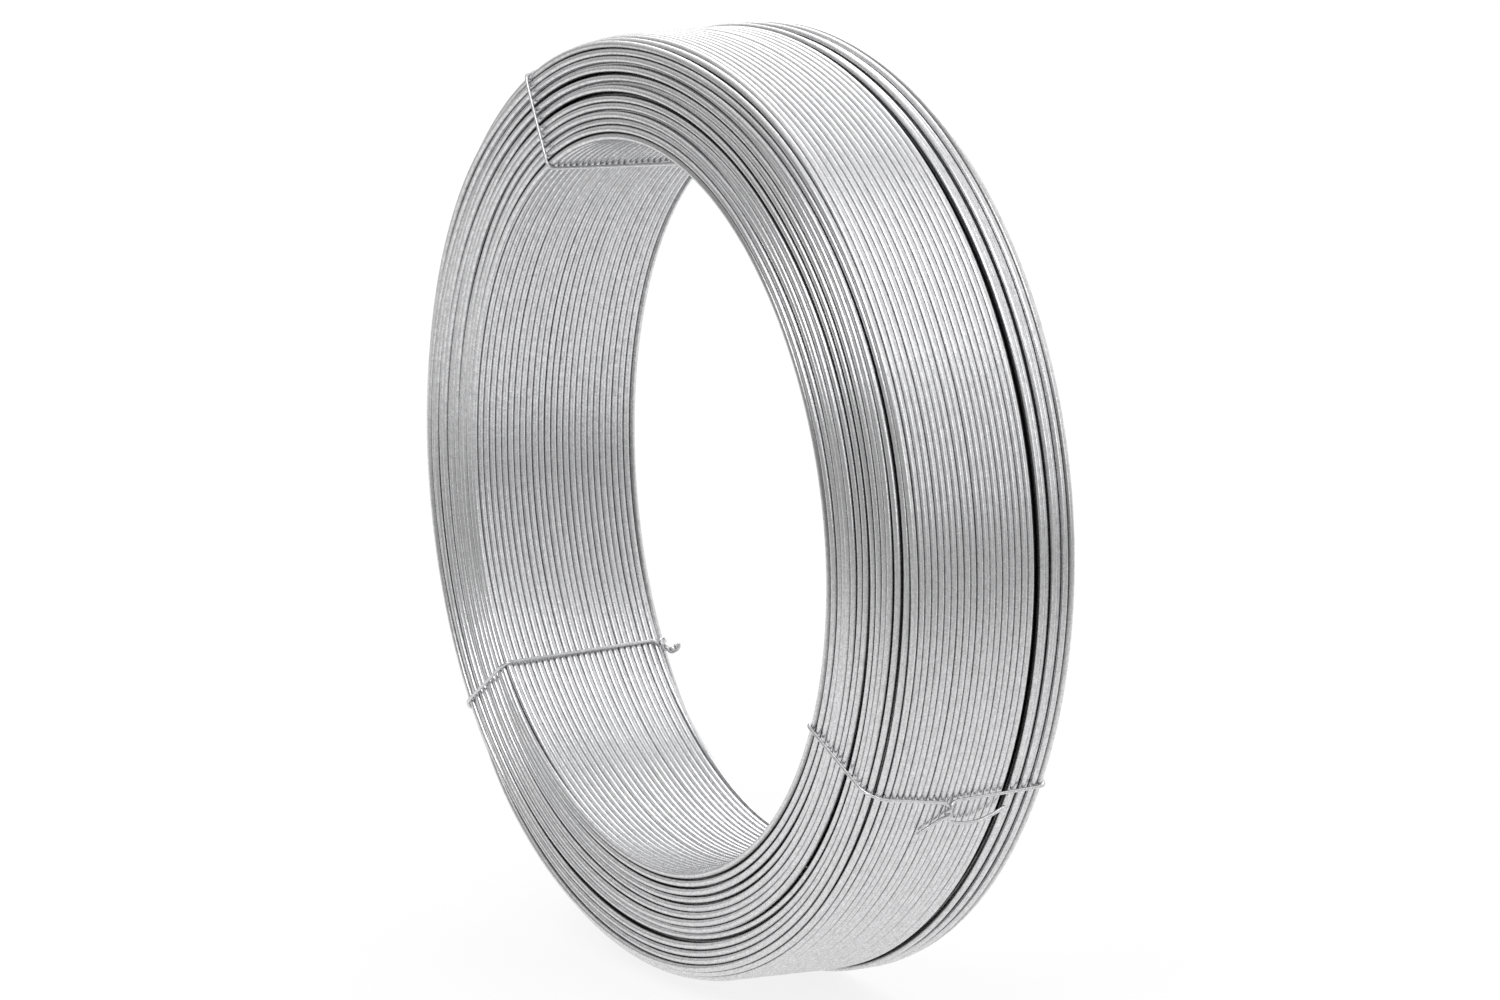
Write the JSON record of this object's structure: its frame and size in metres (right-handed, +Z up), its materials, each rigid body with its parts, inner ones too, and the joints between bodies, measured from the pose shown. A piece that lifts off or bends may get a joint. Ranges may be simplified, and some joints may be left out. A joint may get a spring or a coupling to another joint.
{
  "type": "coil of binding wire",
  "caption": "Coil of galvanised binding wire wound in layers round an open bore, standing on its rim and held together by twisted tie wires.",
  "frame": {"origin": "centre of the bore, on the coil's axis and midway along its width; the floor it stands on is 0.120 m below", "axes": "+Y along the coil's axis, from the near end that the picture shows to the far end; +Z up; +X to the right when the near end is looked at"},
  "size_m": [0.2402, 0.0517, 0.2402],
  "materials": {
    "galvanised_wire": "hot-dip galvanised, bright and slightly mottled",
    "tie_wire": "galvanised, a little duller than the coil"
  },
  "bodies": {
    "root": {"wire_coil": "galvanised_wire", "tie_wire_top": "tie_wire", "tie_wire_left": "tie_wire", "tie_wire_right": "tie_wire"}
  },
  "joints": []
}
